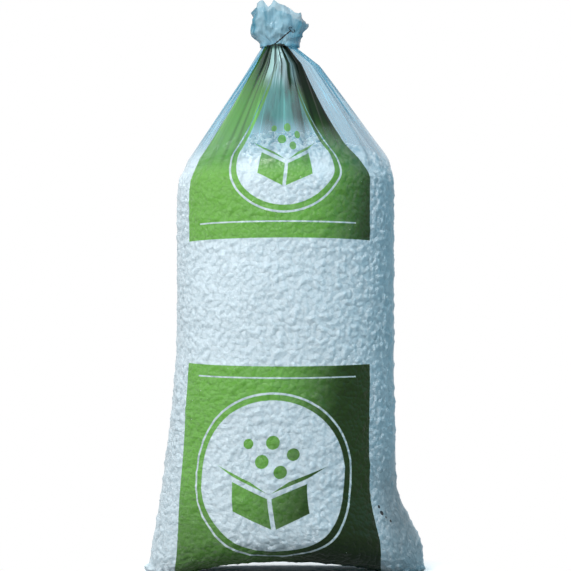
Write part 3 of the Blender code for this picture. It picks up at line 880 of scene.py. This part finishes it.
# The numbers of its ramps are places on the film's map in metres, or levels of a noise
def makeFilm():
    made, nodes, links, shader = newMaterial("printedFilm")
    look = filmLook
    calc, times, timesPlus, plus, minus = mathTools(nodes, links)
    tools = (rampNode, noiseNode, mixColours, fedNode)
    ramp, noiseOf, blend, fed = (partial(tool, nodes, links) for tool in tools)

    def between(pair, factor):
        # from the body's value to the cone's
        return timesPlus(factor, pair[1] - pair[0], pair[0])

    def stretched(scale, lean=0.0):
        made = fed("ShaderNodeMapping", {"Vector": place})
        made.inputs["Rotation"].default_value = (0, 0, lean)
        made.inputs["Scale"].default_value = scale
        return made.outputs[0]

    place = addNode(nodes, "ShaderNodeUVMap", uv_map="film").outputs["UV"]
    split = fed("ShaderNodeSeparateXYZ", {0: place})
    across, up = split.outputs["X"], split.outputs["Y"]
    loose = ramp(up, look["turnLow"], look["turnHigh"])
    tinted = ramp(up, look["tintLow"], look["tintHigh"])
    printed = fed("ShaderNodeGroup", {"Across": across, "Up": up}, node_tree=printTree)
    inked = printed.outputs["Print"]
    bumps = fed("ShaderNodeGroup", {"Place": place}, node_tree=bumpTree)
    # folds run up to the tie
    folds = noiseOf(stretched((1, 0.035, 1)), look["foldScale"], 2)
    frill = ramp(up, look["frillLow"], look["frillHigh"])
    coned = times(loose, minus(1.0, frill))
    fold = times(ramp(folds, 0.50, 0.68), coned)
    # ink lies thinner where the film was creased
    patch = noiseOf(place, look["patchScale"], 5, 0.65)
    ink = timesPlus(patch, 0.4, 0.70, clamp=True)
    mask = times(inked, ink)
    clear = blend(*look["clear"], tinted)
    green = blend(*look["green"], loose)
    # thin ink veils the clear window towards the tie, and the folds there close to dark streaks
    field = printed.outputs["Field"]
    veil = times(field, ramp(up, 1.285, 1.385))
    bias = times(ramp(across, -0.04, 0.14), 0.13)
    bias = plus(bias, ramp(up, 1.42, 1.63, -0.04, 0.17))
    toRight = ramp(across, -0.06, 0.05, -0.03, 0.05)
    bias = timesPlus(toRight, ramp(up, 1.32, 1.40), bias)
    streak = ramp(plus(folds, bias), 0.52, 0.68)
    streak = times(times(streak, field), ramp(up, 1.24, 1.40))
    # painted highlight: just under the tie the window's folds are painted pale
    aside = calc("ABSOLUTE", plus(across, 0.05))
    paleHighlight = times(ramp(up, 1.47, 1.55), ramp(up, 1.665, 1.63))
    paleHighlight = times(paleHighlight, ramp(aside, 0.18, 0.08))
    paleHighlight = times(paleHighlight, ramp(folds, 0.56, 0.47))
    # loose film of the frill: pale in front, with painted shade at both sides where it turns away, and darker
    # in random patches
    cloud = noiseOf(place, look["cloudScale"], 4)
    frillShadeAndPatches = plus(cloud, ramp(aside, 0.12, 0.42, -0.12, 0.22))
    frillColour = blend(look["frillPale"], look["frillDark"], ramp(frillShadeAndPatches, 0.38, 0.72))
    colour = blend(clear, look["veil"], times(veil, 0.92))
    colour = blend(colour, frillColour, frill)
    colour = blend(colour, green, inked)
    colour = blend(colour, look["streak"], streak)
    colour = blend(colour, look["paleHighlight"], times(paleHighlight, 0.75))
    # painted shade: the ink is darkened towards the right and towards the bottom, where the front lies in
    # shade, and it is also darker towards the tie
    shadeEdge = timesPlus(up, 0.20, -0.16)
    side = ramp(minus(across, shadeEdge), 0.0, 0.24, 1.0, 0.10)
    rightCone = times(ramp(across, 0.01, 0.11), ramp(up, 1.20, 1.36))
    side = times(side, timesPlus(rightCone, -0.72, 1.0))
    side = times(side, calc("MAXIMUM", timesPlus(up, 2.4, 0.27, clamp=True), 0.30))
    paintedInkShade = times(side, ramp(up, look["neckLow"], look["neckHigh"], 1.0, look["neckInk"]))
    paintedInkShade = timesPlus(minus(paintedInkShade, 1.0), inked, 1.0)
    paintedInkShade = calc("MAXIMUM", paintedInkShade, paleHighlight)
    bumpy = minus(1.0, loose)
    # painted shade darkens the creases between the peanut bumps
    shade = timesPlus(times(bumps.outputs["Crease"], bumpy), -look["shade"], 1.0)
    # painted shade on the folds of the cone, and a painted highlight (glint) along thin lines on them
    shade = timesPlus(fold, look["foldShade"], shade)
    glint = ramp(calc("ABSOLUTE", minus(folds, 0.44)), 0.018, 0.002)
    glint = times(times(glint, coned), ramp(up, 1.24, 1.38))
    shade = timesPlus(glint, look["glint"], shade)
    # painted shade: the right ear is darkened, as it lies in shadow, and its film is made more opaque
    earShadow = times(ramp(across, 0.24, 0.36), ramp(across, 0.62, 0.46))
    earShadow = times(times(earShadow, ramp(up, 0.46, 0.16)), ramp(up, 0.03, 0.16, 0.45, 1.0))
    shade = timesPlus(earShadow, look["earShade"], shade)
    # darker streaky patches in the window towards the tie, away from the ink
    patchNoise = noiseOf(stretched((1, 0.28, 1)), look["patchNoiseScale"], 3)
    darkPatch = times(veil, ramp(patchNoise, 0.46, 0.60))
    darkPatch = times(darkPatch, minus(1.0, inked))
    shade = timesPlus(darkPatch, look["patchDarkening"], shade)
    # a few specks of dirt above the right ear
    dirt = None
    for x, y, radius in look["specks"]:
        dx = minus(across, x)
        dy = minus(up, y)
        away = calc("SQRT", timesPlus(dx, dx, times(dy, dy)))
        away = minus(away, radius)
        dirt = away if dirt is None else calc("MINIMUM", dirt, away)
    dirt = timesPlus(patch, -0.008, plus(dirt, 0.004))
    dirt = ramp(dirt, 0.001, -0.001)
    colour = blend(colour, look["speckColour"], dirt)
    dark = fed("ShaderNodeVectorMath", {0: colour, "Scale": times(shade, paintedInkShade)}, operation="SCALE")
    links.new(dark.outputs[0], shader.inputs["Base Color"])
    # painted glow: the clear cone emits a little light, standing in for light it scatters from behind
    backGlow = times(coned, minus(1.0, field))
    glow = fed("ShaderNodeVectorMath", {"Scale": backGlow}, operation="SCALE")
    glow.inputs[0].default_value = look["backGlow"]
    links.new(glow.outputs[0], shader.inputs["Emission Color"])
    shader.inputs["Emission Strength"].default_value = 1.0
    clearAlpha = between(look["clearAlpha"], tinted)
    greenAlpha = between(look["greenAlpha"], loose)
    clearAlpha = timesPlus(fold, 0.16, clearAlpha)
    clearAlpha = timesPlus(frill, 0.38, clearAlpha)
    clearAlpha = timesPlus(veil, 0.40, clearAlpha)
    clearAlpha = timesPlus(earShadow, 0.22, clearAlpha)
    alpha = timesPlus(mask, minus(greenAlpha, clearAlpha), clearAlpha)
    alpha = calc("MAXIMUM", alpha, times(rightCone, inked))
    # the ink is more opaque where its painted shade is deeper
    full = timesPlus(side, -0.3, 1.03, clamp=True)
    alpha = calc("MAXIMUM", alpha, times(full, inked))
    alpha = calc("MAXIMUM", calc("MAXIMUM", alpha, streak), dirt)
    # film scatters light on to what lies behind it, so its shadow is thinner than it looks
    path = nodes.new("ShaderNodeLightPath")
    thin = timesPlus(path.outputs["Is Shadow Ray"], look["shadowShare"] - 1, 1.0)
    links.new(times(alpha, thin), shader.inputs["Alpha"])
    wrinkle = noiseOf(place, look["wrinkleScale"], 6, distortion=0.8)
    wrinkled = timesPlus(loose, -0.6 * look["wrinkle"], look["wrinkle"])
    height = times(wrinkle, wrinkled)
    height = timesPlus(times(bumps.outputs["Height"], bumpy), look["bumps"], height)
    height = timesPlus(times(folds, coned), look["fold"] * 3, height)
    # slanting ripples over the lower left, where the film hangs from the belly to the ear
    ripple = noiseOf(stretched((0.30, 1, 1), 0.45), look["rippleScale"], 2)
    there = times(ramp(up, 0.80, 0.45), ramp(across, -0.05, -0.25))
    height = timesPlus(times(ripple, there), look["ripple"] * 3, height)
    facets = fed("ShaderNodeTexVoronoi", {"Vector": place}, feature="SMOOTH_F1")
    facets.inputs["Scale"].default_value = look["facetScale"]
    facets.inputs["Smoothness"].default_value = 0.1
    creased = times(facets.outputs["Distance"], frill)
    height = timesPlus(creased, look["crumple"], height)
    bump = fed("ShaderNodeBump", {"Height": height})
    bump.inputs["Strength"].default_value = 1.0
    bump.inputs["Distance"].default_value = look["bumpDepth"]
    links.new(bump.outputs["Normal"], shader.inputs["Normal"])
    links.new(between(look["roughness"], loose), shader.inputs["Roughness"])
    shader.inputs["Specular IOR Level"].default_value = look["gloss"]
    return made


printTree = makePrintGroup()
film = makeFilm()
sackBody.data.materials.append(film)
sackTop.data.materials.append(film)

# The twisted wire keeps its solid and gets a worn dark finish
wireLook = {
    "dark": (0.003, 0.003, 0.004), "worn": (0.016, 0.015, 0.016), "grain": 400,
    "metallic": 0.1, "roughness": (0.3, 0.45), "gloss": 0.2,
}


def makeWire():
    made, nodes, links, shader = newMaterial("darkWire")
    place = nodes.new("ShaderNodeTexCoord")
    grain = noiseNode(nodes, links, place.outputs["Object"], wireLook["grain"])
    tone = mixColours(nodes, links, wireLook["dark"], wireLook["worn"], grain)
    links.new(tone, shader.inputs["Base Color"])
    rough = mathNode(nodes, links, "MULTIPLY_ADD", grain, *wireLook["roughness"])
    links.new(rough, shader.inputs["Roughness"])
    shader.inputs["Metallic"].default_value = wireLook["metallic"]
    shader.inputs["Specular IOR Level"].default_value = wireLook["gloss"]
    return made


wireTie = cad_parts["wire_tie"]
wireTie.material_slots[0].material = makeWire()

# Scatter shapes go; what is left belongs to the sack
for shape in (plainPeanut, finePeanut):
    bpy.data.objects.remove(shape)
for piece in (sackBody, sackTop, lowerPack, upperPack, heapBed, heapTop, loosePeanuts, core):
    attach(piece, "root")
for piece in (sackBody, sackTop):
    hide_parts("sack_film")
for piece in (lowerPack, upperPack, heapBed, heapTop, core):
    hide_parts("peanut_fill")
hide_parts(*peanutNodes)

# Room: pale floor that turns white away from the sack, soft light from the left front
roomLook = {
    "floorColour": (0.93, 0.94, 0.94), "near": 0.43, "far": 0.62, "floorRadius": 14, "floorBounce": 0.25,
    "worldLevel": 0.185, "worldColour": (0.27, 0.75, 1.0),
    "lens": 189.0, "cameraAway": 9, "cameraHeight": 0.75, "aim": 0.857,
}
# Each light's place, the point it is aimed at, its size, power and colour
roomLights = {
    "keyLight": ((-1.7, -4.7, 4.4), (0, 0, 0.8), 1.3, 300, (1, 1, 1)),
    "leftLight": ((-4.2, -1.6, 2.4), (0, 0, 0.7), 2.6, 66, (1, 1, 1)),
    "rightLight": ((4.2, -1.5, 2.4), (0, 0, 0.8), 2.6, 42, (0.20, 0.74, 1.0)),
    "heapLight": ((-0.3, 2.8, 4.2), (0, 0, 1.3), 1.2, 190, (1, 1, 1)),
}


def seenBy(nodes, links, *rays):
    path = nodes.new("ShaderNodeLightPath")
    seen = path.outputs[rays[0]]
    for ray in rays[1:]:
        seen = mathNode(nodes, links, "MAXIMUM", seen, path.outputs[ray])
    return seen


def mixShaders(nodes, links, share, first, second, output):
    blend = nodes.new("ShaderNodeMixShader")
    for socket, source in zip(blend.inputs, (share, first, second)):
        links.new(source, socket)
    links.new(blend.outputs[0], nodes[output].inputs["Surface"])


def makeFloor():
    bm = bmesh.new()
    bmesh.ops.create_circle(bm, cap_ends=True, segments=96, radius=roomLook["floorRadius"])
    mesh = bpy.data.meshes.new("floor")
    bm.to_mesh(mesh)
    bm.free()
    made, nodes, links, shader = newMaterial("paleFloor")
    shader.inputs["Roughness"].default_value = 0.8
    place = nodes.new("ShaderNodeTexCoord")
    fed = partial(fedNode, nodes, links)
    length = fed("ShaderNodeVectorMath", {0: place.outputs["Object"]}, operation="LENGTH")
    span = fed("ShaderNodeMapRange", {"Value": length.outputs["Value"]})
    span.inputs["From Min"].default_value = roomLook["near"]
    span.inputs["From Max"].default_value = roomLook["far"]
    seen = seenBy(nodes, links, "Is Camera Ray", "Is Glossy Ray")
    dimmed = tuple(roomLook["floorBounce"] * value for value in roomLook["floorColour"])
    links.new(mixColours(nodes, links, dimmed, roomLook["floorColour"], seen), shader.inputs["Base Color"])
    share = mathNode(nodes, links, "MULTIPLY", seen, span.outputs["Result"])
    white = nodes.new("ShaderNodeEmission")
    mixShaders(nodes, links, share, shader.outputs[0], white.outputs[0], "Material Output")
    mesh.materials.append(made)
    return linkObject("floor", mesh)


makeFloor()
world = bpy.data.worlds.new("room")
scene.world = world
world.use_nodes = True
nodes, links = world.node_tree.nodes, world.node_tree.links
plain = nodes["Background"]
plain.inputs["Color"].default_value = (*roomLook["worldColour"], 1)
plain.inputs["Strength"].default_value = roomLook["worldLevel"]
white = nodes.new("ShaderNodeBackground")
white.inputs["Color"].default_value = (1, 1, 1, 1)
seen = seenBy(nodes, links, "Is Camera Ray", "Is Glossy Ray", "Is Transmission Ray")
mixShaders(nodes, links, seen, plain.outputs[0], white.outputs[0], "World Output")


def areaLight(name, place, aim, size, power, colour):
    light = bpy.data.lights.new(name, "AREA")
    light.size = size
    light.energy = power
    light.color = colour
    obj = bpy.data.objects.new(name, light)
    scene.collection.objects.link(obj)
    obj.location = place
    obj.rotation_euler = (Vector(aim) - Vector(place)).to_track_quat("-Z", "Y").to_euler()


for name, values in roomLights.items():
    areaLight(name, *values)

camera = bpy.data.objects.new("camera", bpy.data.cameras.new("camera"))
scene.collection.objects.link(camera)
camera.data.lens = roomLook["lens"]
camera.data.sensor_width = 36
camera.location = (0, -roomLook["cameraAway"], roomLook["cameraHeight"])
aim = Vector((0, 0, roomLook["aim"]))
camera.rotation_euler = (aim - camera.location).to_track_quat("-Z", "Y").to_euler()
camera.data.clip_end = 60
scene.camera = camera

print("scene ready")
